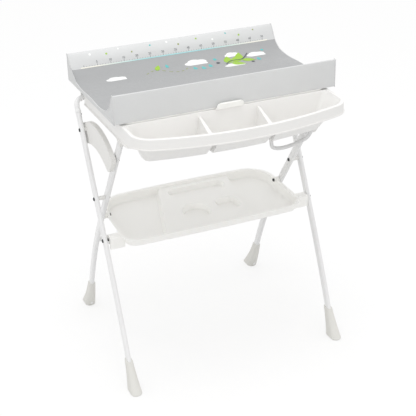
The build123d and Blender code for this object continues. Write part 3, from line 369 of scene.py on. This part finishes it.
def build_mat():
    """Closed mesh of the mat, with the seams held while pressure fills the cloth."""
    section = mat_section()
    count = len(section)
    columns = int(2 * MAT_END / MAT_SPACING)
    mesh = bpy.data.meshes.new("mat_pad")
    build = bmesh.new()
    rings = []
    for column in range(columns + 1):
        x = -MAT_END + 2 * MAT_END * column / columns
        rings.append([build.verts.new((x, MAT_CENTRE_Y + row[0], row[1])) for row in section])
    for first, second in zip(rings, rings[1:]):
        for index in range(count):
            after = (index + 1) % count
            face = build.faces.new((first[index], second[index], second[after], first[after]))
            face.material_index = int(section[index][3] and section[after][3])
    build.faces.new(rings[0])
    build.faces.new(rings[-1][::-1])
    bmesh.ops.triangulate(build, faces=[face for face in build.faces if len(face.verts) > 4])
    bmesh.ops.recalc_face_normals(build, faces=build.faces)
    build.verts.index_update()
    held = {vert.index for ring in rings for vert, row in zip(ring, section) if row[2]}
    held |= {vert.index for ring in (rings[0], rings[-1]) for vert in ring}
    build.to_mesh(mesh)
    build.free()
    for polygon in mesh.polygons:
        polygon.use_smooth = True
    pad = piece("mat_pad", mesh, "mat", "mat_vinyl", mat_vinyl, mat_floor_vinyl)
    seam = pad.vertex_groups.new(name="seam")
    seam.add(sorted(held), 1.0, "REPLACE")
    return pad, held


SIM_FRAMES = 20
MOST_SWELL = 0.005
SEAM_CREASE = 0.8


def inflate(pad, held):
    """Blow the cloth up a little between its seams, then keep each point near its start."""
    start = [vertex.co.copy() for vertex in pad.data.vertices]
    cloth = pad.modifiers.new("cloth", "CLOTH")
    settings = cloth.settings
    settings.quality = 6
    settings.mass = 0.3
    settings.tension_stiffness = 25.0
    settings.compression_stiffness = 25.0
    settings.shear_stiffness = 8.0
    settings.bending_stiffness = 2.0
    settings.use_pressure = True
    settings.uniform_pressure_force = 4.0
    settings.vertex_group_mass = "seam"
    settings.effector_weights.gravity = 0.0
    cloth.point_cache.frame_start = 1
    cloth.point_cache.frame_end = SIM_FRAMES
    for number in range(1, SIM_FRAMES + 1):
        scene.frame_set(number)
    graph = bpy.context.evaluated_depsgraph_get()
    blown = pad.evaluated_get(graph).to_mesh()
    ends = [vertex.co.copy() for vertex in blown.vertices]
    pad.evaluated_get(graph).to_mesh_clear()
    pad.modifiers.remove(cloth)
    for vertex, first, last in zip(pad.data.vertices, start, ends):
        move = last - first
        if vertex.index in held:
            move = Vector()
        if move.length > MOST_SWELL:
            move = move.normalized() * MOST_SWELL
        vertex.co = first + move
    scene.frame_set(1)


mat_pad, seam_points = build_mat()
inflate(mat_pad, seam_points)
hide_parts("changing_mat")

# The seams stay sharp when the mat is subdivided
crease = mat_pad.data.attributes.new("crease_edge", "FLOAT", "EDGE")
sharp = mat_pad.data.attributes.new("sharp_edge", "BOOLEAN", "EDGE")
for edge in mat_pad.data.edges:
    if edge.vertices[0] in seam_points and edge.vertices[1] in seam_points:
        crease.data[edge.index].value = SEAM_CREASE
        sharp.data[edge.index].value = True
smooth = mat_pad.modifiers.new("smooth", "SUBSURF")
smooth.levels = 1
smooth.render_levels = 1


def finish_mesh(name, build, body, slot, finish):
    """Mesh of a bmesh as a smooth piece with its normals outward."""
    bmesh.ops.recalc_face_normals(build, faces=build.faces)
    mesh = bpy.data.meshes.new(name)
    build.to_mesh(mesh)
    build.free()
    for polygon in mesh.polygons:
        polygon.use_smooth = True
    return piece(name, mesh, body, slot, finish)


def tube_piece(name, line, radius, body, slot, finish, sides=8):
    """Round tube along a closed line that lies across the X axis."""
    build = bmesh.new()
    rings = []
    turns = [2 * math.pi * side / sides for side in range(sides)]
    for index, place in enumerate(line):
        ahead = line[(index + 1) % len(line)] - line[index - 1]
        across = ahead.cross(Vector((1.0, 0.0, 0.0))).normalized()
        other = ahead.cross(across).normalized()
        rings.append([
            build.verts.new(place + across * radius * math.cos(turn) + other * radius * math.sin(turn))
            for turn in turns
        ])
    for index, ring in enumerate(rings):
        following = rings[(index + 1) % len(rings)]
        for side in range(sides):
            after = (side + 1) % sides
            build.faces.new((ring[side], ring[after], following[after], following[side]))
    return finish_mesh(name, build, body, slot, finish)


# Welded rims round the mat's two end caps
WELD_RADIUS = 0.0015
WELD_INSET = 0.0005
for word, x in (("left", -MAT_END + WELD_INSET), ("right", MAT_END - WELD_INSET)):
    outline = [Vector((x, MAT_CENTRE_Y + row[0], row[1])) for row in mat_section()]
    tube_piece(f"mat_weld_{word}", outline, WELD_RADIUS, "mat", "mat_vinyl", mat_vinyl)


# Generic print on the mat: a ruler along the back bolster, dots, leaves, clouds and drops
bpy.context.view_layer.update()
mat_surface = BVHTree.FromObject(mat_pad, bpy.context.evaluated_depsgraph_get())
weld_in, weld_high = BOLSTER_POINTS[WELD_POINT]
top_in, top_high = BOLSTER_POINTS[0]
slope_foot = Vector((0.0, MAT_CENTRE_Y + MAT_HALF - weld_in, MAT_BOTTOM + weld_high))
slope_up = Vector((0.0, weld_in - top_in, top_high - weld_high)).normalized()
slope_out = Vector((1.0, 0.0, 0.0)).cross(slope_up)
ABOVE_MAT = 1.3
OFF_BOLSTER = 0.04


def laid(start, heading, lift):
    """Point of the mat that a ray meets, lifted off it a little."""
    return mat_surface.ray_cast(start, heading)[0] - heading * lift


def on_floor(x, y, lift):
    """Point of the mat's floor at x and y."""
    return laid(Vector((x, y, ABOVE_MAT)), Vector((0.0, 0.0, -1.0)), lift)


def on_bolster(x, up, lift):
    """Place x along the back bolster's inner face, and up from its welded line."""
    start = Vector((x, 0.0, 0.0)) + slope_foot + slope_up * up + slope_out * OFF_BOLSTER
    return laid(start, -slope_out, lift)


PRINT_STEP = 0.006
PRINT_THICKNESS = 0.0004
PRINT_MERGE = 0.00001
MOST_CUTS = 6


def printed(name, outlines, lay, lift, finish, stack=0.0):
    """Thin patches on the mat from flat outlines, each higher than the last by the stack."""
    build = bmesh.new()
    for number, outline in enumerate(outlines):
        turn = sum(a[0] * b[1] - b[0] * a[1] for a, b in zip(outline, outline[1:] + outline[:1]))
        outline = outline if turn > 0 else outline[::-1]
        build.faces.new([build.verts.new((u, v, stack * number)) for u, v in outline])
    bmesh.ops.remove_doubles(build, verts=build.verts, dist=PRINT_MERGE)
    bmesh.ops.triangulate(build, faces=build.faces)
    for _ in range(MOST_CUTS):
        long_edges = [edge for edge in build.edges if edge.calc_length() > PRINT_STEP]
        if not long_edges:
            break
        bmesh.ops.subdivide_edges(build, edges=long_edges, cuts=1)
        bmesh.ops.triangulate(build, faces=[face for face in build.faces if len(face.verts) > 3])
    for vert in build.verts:
        vert.co = lay(vert.co.x, vert.co.y, lift + vert.co.z)
    mesh = bpy.data.meshes.new(name)
    build.to_mesh(mesh)
    build.free()
    patch = piece(name, mesh, "mat", "mat_vinyl", finish)
    solid = patch.modifiers.new("solid", "SOLIDIFY")
    solid.thickness = PRINT_THICKNESS
    solid.offset = -1.0


def ribbon(line, width):
    """Outlines of the quads of a flat band along a line of points."""
    edges = []
    for index, (u, v) in enumerate(line):
        before = line[max(index - 1, 0)]
        after = line[min(index + 1, len(line) - 1)]
        along = Vector((after[0] - before[0], after[1] - before[1])).normalized() * width / 2
        edges.append(((u - along.y, v + along.x), (u + along.y, v - along.x)))
    return [[a[0], a[1], b[1], b[0]] for a, b in zip(edges, edges[1:])]


def disc(u, v, radius, sides=14):
    """Round dot."""
    turns = [2 * math.pi * side / sides for side in range(sides)]
    return [(u + radius * math.cos(turn), v + radius * math.sin(turn)) for turn in turns]


def turned(outline, u, v, degrees):
    """An outline turned about its origin and moved to a place."""
    cos, sin = math.cos(math.radians(degrees)), math.sin(math.radians(degrees))
    return [(u + a * cos - b * sin, v + a * sin + b * cos) for a, b in outline]


def leaf(u, v, length, width, degrees, steps=10, fullness=0.8):
    """Pointed oval from its stalk to its tip, fullest nearer the stalk."""
    shares = [step / steps for step in range(steps + 1)]
    one = [(length * share, width / 2 * math.sin(math.pi * share ** fullness)) for share in shares]
    other = [(along, -aside) for along, aside in one[1:-1]]
    return turned(one + other[::-1], u, v, degrees)


def cloud(u, v, width, height, lobes=5, depth=0.16, foot=-0.55, steps=40):
    """Round lobes above a flatter foot."""
    outline = []
    for step in range(steps):
        turn = 2 * math.pi * step / steps
        reach = 1 - depth + depth * abs(math.sin(lobes * turn / 2))
        rise = max(reach * math.sin(turn), foot)
        outline.append((u + width / 2 * reach * math.cos(turn), v + height / 2 * rise))
    return outline


def drop(u, v, size, degrees, wide=0.42, high=0.6, steps=16):
    """Drop with its tip up before it is turned."""
    outline = []
    for step in range(steps):
        turn = 2 * math.pi * step / steps
        aside = size * wide * math.sin(turn) * math.sin(turn / 2)
        outline.append((aside, size * high * math.cos(turn)))
    return turned(outline, u, v, degrees)


# Strokes of the ruler's digits, one wide and 1.6 high
DIGITS = {
    "0": [
        (0.5, 1.6), (0.15, 1.3), (0.05, 0.8), (0.15, 0.3), (0.5, 0.0),
        (0.85, 0.3), (0.95, 0.8), (0.85, 1.3), (0.5, 1.6),
    ],
    "1": [(0.25, 1.25), (0.6, 1.6), (0.6, 0.0)],
    "2": [(0.1, 1.25), (0.3, 1.55), (0.7, 1.55), (0.9, 1.2), (0.75, 0.8), (0.1, 0.0), (0.95, 0.0)],
    "3": [(0.1, 1.6), (0.9, 1.6), (0.45, 0.95), (0.85, 0.7), (0.85, 0.2), (0.5, 0.0), (0.05, 0.2)],
    "4": [(0.75, 0.0), (0.75, 1.6), (0.05, 0.5), (1.0, 0.5)],
    "5": [(0.9, 1.6), (0.2, 1.6), (0.12, 0.9), (0.6, 1.0), (0.9, 0.6), (0.75, 0.1), (0.1, 0.1)],
    "6": [(0.8, 1.6), (0.25, 1.0), (0.08, 0.4), (0.4, 0.0), (0.9, 0.3), (0.8, 0.8), (0.3, 0.8)],
    "7": [(0.05, 1.6), (0.95, 1.6), (0.4, 0.0)],
}
DIGIT_SIZE = 0.0045
DIGIT_PITCH = DIGIT_SIZE * 1.25
DIGIT_FOOT = 0.0135
RULER_START = -0.352
RULER_UNIT = 0.01
RULER_UNITS = 70
NUMBER_EACH = 5
TICK_FOOT = 0.0045
TICK_TOP = 0.0075
LONG_TICK_TOP = 0.0105
THIN_STROKE = 0.0007
BOLD_STROKE = 0.0012


def ruler_marks():
    """A tick each 10 mm, a longer one with its number each 50 mm."""
    outlines = []
    for mark in range(RULER_UNITS + 1):
        x = RULER_START + RULER_UNIT * mark
        if mark % NUMBER_EACH:
            outlines += ribbon([(x, TICK_FOOT), (x, TICK_TOP)], THIN_STROKE)
            continue
        outlines += ribbon([(x, TICK_FOOT), (x, LONG_TICK_TOP)], BOLD_STROKE)
        word = str(mark) if mark else ""
        left = x - DIGIT_PITCH * len(word) / 2
        for place, digit in enumerate(word):
            start = left + DIGIT_PITCH * place
            line = [(start + DIGIT_SIZE * a, DIGIT_FOOT + DIGIT_SIZE * b) for a, b in DIGITS[digit]]
            outlines += ribbon(line, BOLD_STROKE)
    return outlines


def ink(name, colour):
    """Print's finish, a little glossier than the vinyl."""
    return plain_surface(name, colour, rough=0.42, grain=1500.0, relief=0.00004)


INKS = {
    "green": ink("ink_green", srgb(158, 200, 60)),
    "teal": ink("ink_teal", srgb(96, 190, 190)),
    "olive": ink("ink_olive", srgb(150, 160, 92)),
    "white": ink("ink_white", srgb(244, 245, 244)),
    "dark": ink("ink_dark", srgb(84, 88, 94)),
}
RULER_AQUA = srgb(176, 224, 226)
RULER_CREAM = srgb(248, 246, 234)
AQUA_REACH = 0.12
CREAM_FROM = 0.3
RULER_GLOSS_DETAIL = 3.0
RULER_ROUGH = (0.36, 0.48)


def ruler_ink():
    """Cream towards both ends, aqua in the middle."""
    graph = Graph("ink_ruler")
    parts = graph.add("ShaderNodeSeparateXYZ")
    graph.link(graph.place, parts.inputs[0])
    aside = graph.add("ShaderNodeMath", operation="ABSOLUTE")
    graph.link(parts.outputs["X"], aside.inputs[0])
    share = graph.ramp(aside.outputs[0], 0.0, 1.0, AQUA_REACH, CREAM_FROM)
    graph.link(graph.colours(share, RULER_AQUA, RULER_CREAM), graph.shader.inputs["Base Color"])
    graph.gloss(VINYL_GLOSS_SCALE, RULER_GLOSS_DETAIL, *RULER_ROUGH)
    return graph.material


LINE_MARGIN = 0.012
LINE_STEP = 0.006
LINE_POINTS = 123
LINE_UP = 0.0018
LINE_WIDTH = 0.0040
LINE_LIFT = 0.0005
MARKS_LIFT = 0.0004
RULER_LINE = [(RULER_START - LINE_MARGIN + LINE_STEP * step, LINE_UP) for step in range(LINE_POINTS)]
printed("mat_ruler_line", ribbon(RULER_LINE, LINE_WIDTH), on_bolster, LINE_LIFT, ruler_ink())
printed("mat_ruler_marks", ruler_marks(), on_bolster, MARKS_LIFT, INKS["dark"])

# Dots on the bolster: place along it, height up its slope, and radius
BOLSTER_DOTS = {
    "green": [(-0.262, 0.040, 0.0036), (0.085, 0.046, 0.0032), (0.256, 0.036, 0.0036)],
    "teal": [(-0.095, 0.047, 0.0034), (0.205, 0.050, 0.003)],
    "olive": [(-0.168, 0.033, 0.003), (0.012, 0.035, 0.0034), (0.318, 0.048, 0.003)],
    "white": [
        (-0.322, 0.046, 0.0045), (-0.215, 0.052, 0.003), (-0.030, 0.050, 0.004), (0.148, 0.034, 0.004),
    ],
}
for word, dots in BOLSTER_DOTS.items():
    printed(f"mat_dots_{word}", [disc(*dot) for dot in dots], on_bolster, MARKS_LIFT, INKS[word])


def wavy(start, step_x, step_y, wave, pitch, count):
    """Points of a line that rises evenly with a wave on it."""
    x, y = start
    return [
        (x + step_x * step, y + step_y * step + wave * math.sin(step * pitch)) for step in range(count)
    ]


SPRIG = wavy((0.150, 0.128), 0.0085, 0.004, 0.010, 0.55, 14)
SPRIG_WIDTH = 0.0044
DASHES = wavy((-0.150, 0.150), 0.0105, 0.0, 0.020, 0.42, 16)
DASH_WIDTH = 0.003
LEAF_STACK = 0.00008

# Print on the mat's floor: name, ink, lift off the mat, lift of each outline over the last, outlines
FLOOR_PRINT = [
    ("mat_clouds", "white", 0.0003, 0.0, [
        cloud(0.052, 0.176, 0.092, 0.046),
        cloud(0.290, 0.170, 0.078, 0.040),
        cloud(-0.262, 0.150, 0.078, 0.038),
        cloud(0.200, 0.190, 0.060, 0.032),
        cloud(0.176, 0.108, 0.082, 0.038),
    ]),
    ("mat_leaves", "green", 0.0005, LEAF_STACK, [
        leaf(0.162, 0.134, 0.056, 0.032, 74),
        leaf(0.182, 0.140, 0.064, 0.036, 36),
        leaf(0.170, 0.132, 0.056, 0.030, -30),
        leaf(0.212, 0.150, 0.052, 0.030, 70),
        leaf(0.220, 0.146, 0.050, 0.028, -22),
        leaf(-0.106, 0.166, 0.036, 0.019, 60),
    ]),
    ("mat_drops", "teal", 0.0005, 0.0, [
        drop(0.030, 0.138, 0.022, 0),
        drop(0.060, 0.130, 0.024, 0),
        drop(0.090, 0.139, 0.022, 0),
        drop(-0.060, 0.186, 0.018, 0),
        drop(0.282, 0.134, 0.022, 0),
        disc(0.126, 0.180, 0.007),
        disc(0.326, 0.196, 0.006),
    ]),
    ("mat_stems", "dark", 0.0011, 0.0, [
        *ribbon(SPRIG, SPRIG_WIDTH),
        disc(0.126, 0.150, 0.007),
        disc(0.250, 0.114, 0.006),
    ]),
    ("mat_dashes", "olive", 0.0004, 0.0, [
        quad for pair in zip(DASHES[::2], DASHES[1::2]) for quad in ribbon(pair, DASH_WIDTH)
    ]),
]
for name, word, lift, stack, outlines in FLOOR_PRINT:
    printed(name, outlines, on_floor, lift, INKS[word], stack)


# Collars round the joints of the elbows and the outer legs, whose tubes are flat ovals.
# The legs' place, lean and pivot are those of the CAD model.
LEG_X = 0.405
LEG_LEAN = math.radians(26.8)
PIVOT_Y = 0.030
PIVOT_Z = 0.629
TUBE_RADIUS = 0.0075

# Section of a collar: distance up the leg from its pivot, and how far it stands proud of the tube
COLLAR = [
    (0.3075, -0.0004), (0.3078, 0.0008), (0.3086, 0.0013),
    (0.3152, 0.0013), (0.3160, 0.0008), (0.3163, -0.0004),
]


def leg_outline(x, distance, proud, steps=10):
    """Oval round an outer leg at a distance up from its pivot, standing proud by a little."""
    radius = TUBE_RADIUS + proud
    points = []
    for end in (1.0, -1.0):
        for step in range(steps + 1):
            turn = math.pi * (step / steps - 0.5)
            depth = end * (TUBE_RADIUS + radius * math.cos(turn))
            wide = end * radius * math.sin(turn)
            y = PIVOT_Y + distance * math.sin(LEG_LEAN) + depth * math.cos(LEG_LEAN)
            z = PIVOT_Z + distance * math.cos(LEG_LEAN) - depth * math.sin(LEG_LEAN)
            points.append((x + wide, y, z))
    return points


for word, x in (("left", -LEG_X), ("right", LEG_X)):
    build = bmesh.new()
    loops = [[build.verts.new(place) for place in leg_outline(x, *station)] for station in COLLAR]
    for first, second in zip(loops, loops[1:] + loops[:1]):
        for index in range(len(first)):
            build.faces.new((first[index - 1], first[index], second[index], second[index - 1]))
    finish_mesh(f"elbow_collar_{word}", build, "outer_frame", "frame_paint", materials["frame_paint"])


# Six-sided sockets in the bolts' heads, on their outer sides
SOCKET_RADIUS = 0.0026
SOCKET_PROUD = 0.0002
SOCKET_SINK = 0.0006
SOCKET_SIDES = 6
SOCKET_BODIES = {
    "pivot_bolt": "outer_frame",
    "arm_pin": "outer_frame",
    "shelf_peg": "outer_frame",
    "shelf_bolt": "inner_frame",
}
SOCKET_DARK = srgb(58, 59, 61)
socket_finish = plain_surface("socket_shadow", SOCKET_DARK, rough=0.6, grain=900.0, relief=0.00004)


def socket(word, side, body):
    """Flat-sided plug of shadow in the middle of a bolt's outer face."""
    low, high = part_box(f"{word}_{side}")
    middle_y = (low.y + high.y) / 2
    middle_z = (low.z + high.z) / 2
    face, inwards = (low.x, 1.0) if side == "left" else (high.x, -1.0)
    turns = [2 * math.pi * corner / SOCKET_SIDES for corner in range(SOCKET_SIDES)]
    build = bmesh.new()
    rings = []
    for x in (face + inwards * SOCKET_SINK, face - inwards * SOCKET_PROUD):
        rings.append([
            build.verts.new((
                x, middle_y + SOCKET_RADIUS * math.cos(turn), middle_z + SOCKET_RADIUS * math.sin(turn),
            ))
            for turn in turns
        ])
    for corner in range(SOCKET_SIDES):
        build.faces.new((rings[0][corner - 1], rings[0][corner], rings[1][corner], rings[1][corner - 1]))
    build.faces.new(rings[0])
    build.faces.new(rings[1])
    made = finish_mesh(f"{word}_socket_{side}", build, body, "dark_steel", socket_finish)
    for polygon in made.data.polygons:
        polygon.use_smooth = False


for word, body in SOCKET_BODIES.items():
    for side in ("left", "right"):
        socket(word, side, body)


# Stage: a pale floor, a white backdrop and soft light
FLOOR_REACH = 14.0
FLOOR_COLOUR = (0.70, 0.70, 0.698, 1.0)
FLOOR_GLOW = 1.28
FLOOR_GLOW_SHARE = 0.5
WORLD_LIGHT = 0.97
WORLD_SEEN = 1.0
WHITE = (1.0, 1.0, 1.0, 1.0)


def background_rays(tree):
    """One for the rays that see the background straight, in a reflection or through a clear piece."""
    paths = tree.nodes.new("ShaderNodeLightPath")
    total = paths.outputs["Is Camera Ray"]
    for kind in ("Is Glossy Ray", "Is Transmission Ray"):
        most = tree.nodes.new("ShaderNodeMath")
        most.operation = "MAXIMUM"
        tree.links.new(total, most.inputs[0])
        tree.links.new(paths.outputs[kind], most.inputs[1])
        total = most.outputs[0]
    return total


def floor_finish():
    """Diffuse floor that keeps the shadow, made whiter for the rays that see it."""
    material = bpy.data.materials.new("floor")
    material.use_nodes = True
    tree = material.node_tree
    tree.nodes.clear()
    diffuse = tree.nodes.new("ShaderNodeBsdfDiffuse")
    diffuse.inputs["Color"].default_value = FLOOR_COLOUR
    glow = tree.nodes.new("ShaderNodeEmission")
    glow.inputs["Color"].default_value = WHITE
    glow.inputs["Strength"].default_value = FLOOR_GLOW
    share = tree.nodes.new("ShaderNodeMath")
    share.operation = "MULTIPLY"
    share.inputs[1].default_value = FLOOR_GLOW_SHARE
    mix = tree.nodes.new("ShaderNodeMixShader")
    output = tree.nodes.new("ShaderNodeOutputMaterial")
    tree.links.new(background_rays(tree), share.inputs[0])
    tree.links.new(share.outputs[0], mix.inputs["Fac"])
    tree.links.new(diffuse.outputs[0], mix.inputs[1])
    tree.links.new(glow.outputs[0], mix.inputs[2])
    tree.links.new(mix.outputs[0], output.inputs["Surface"])
    return material


def stage_floor():
    """Wide floor under the table."""
    mesh = bpy.data.meshes.new("floor")
    corners = [(-1, -1), (1, -1), (1, 1), (-1, 1)]
    mesh.from_pydata([(FLOOR_REACH * x, FLOOR_REACH * y, 0.0) for x, y in corners], [], [(0, 1, 2, 3)])
    mesh.materials.append(floor_finish())
    floor = bpy.data.objects.new("floor", mesh)
    scene.collection.objects.link(floor)
    floor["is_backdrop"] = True


def white_world():
    """White surroundings, a little weaker as light than as background."""
    world = bpy.data.worlds.new("studio")
    scene.world = world
    world.use_nodes = True
    tree = world.node_tree
    background = tree.nodes["Background"]
    background.inputs["Color"].default_value = WHITE
    strength = tree.nodes.new("ShaderNodeMapRange")
    strength.inputs["To Min"].default_value = WORLD_LIGHT
    strength.inputs["To Max"].default_value = WORLD_SEEN
    tree.links.new(background_rays(tree), strength.inputs["Value"])
    tree.links.new(strength.outputs["Result"], background.inputs["Strength"])


def soft_lamp(name, place, target, size, power):
    """Round area lamp, aimed at a target."""
    data = bpy.data.lights.new(name, "AREA")
    data.shape = "DISK"
    data.size = size
    data.energy = power
    lamp = bpy.data.objects.new(name, data)
    lamp.location = place
    lamp.rotation_euler = (Vector(target) - Vector(place)).to_track_quat("-Z", "Y").to_euler()
    scene.collection.objects.link(lamp)


stage_floor()
white_world()
soft_lamp("key_lamp", place=(-0.2, -0.6, 3.7), target=(0.0, 0.0, 0.8), size=1.8, power=24.0)
soft_lamp("fill_lamp", place=(-2.4, -3.0, 1.5), target=(0.0, 0.0, 0.6), size=2.4, power=6.0)

scene.view_settings.view_transform = "Standard"


def plain(value):
    """Nested sequences as plain lists of numbers."""
    return [plain(part) for part in value] if hasattr(value, "__len__") else float(value)


{"cad": plain(cad_box), "visual": plain(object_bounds())}
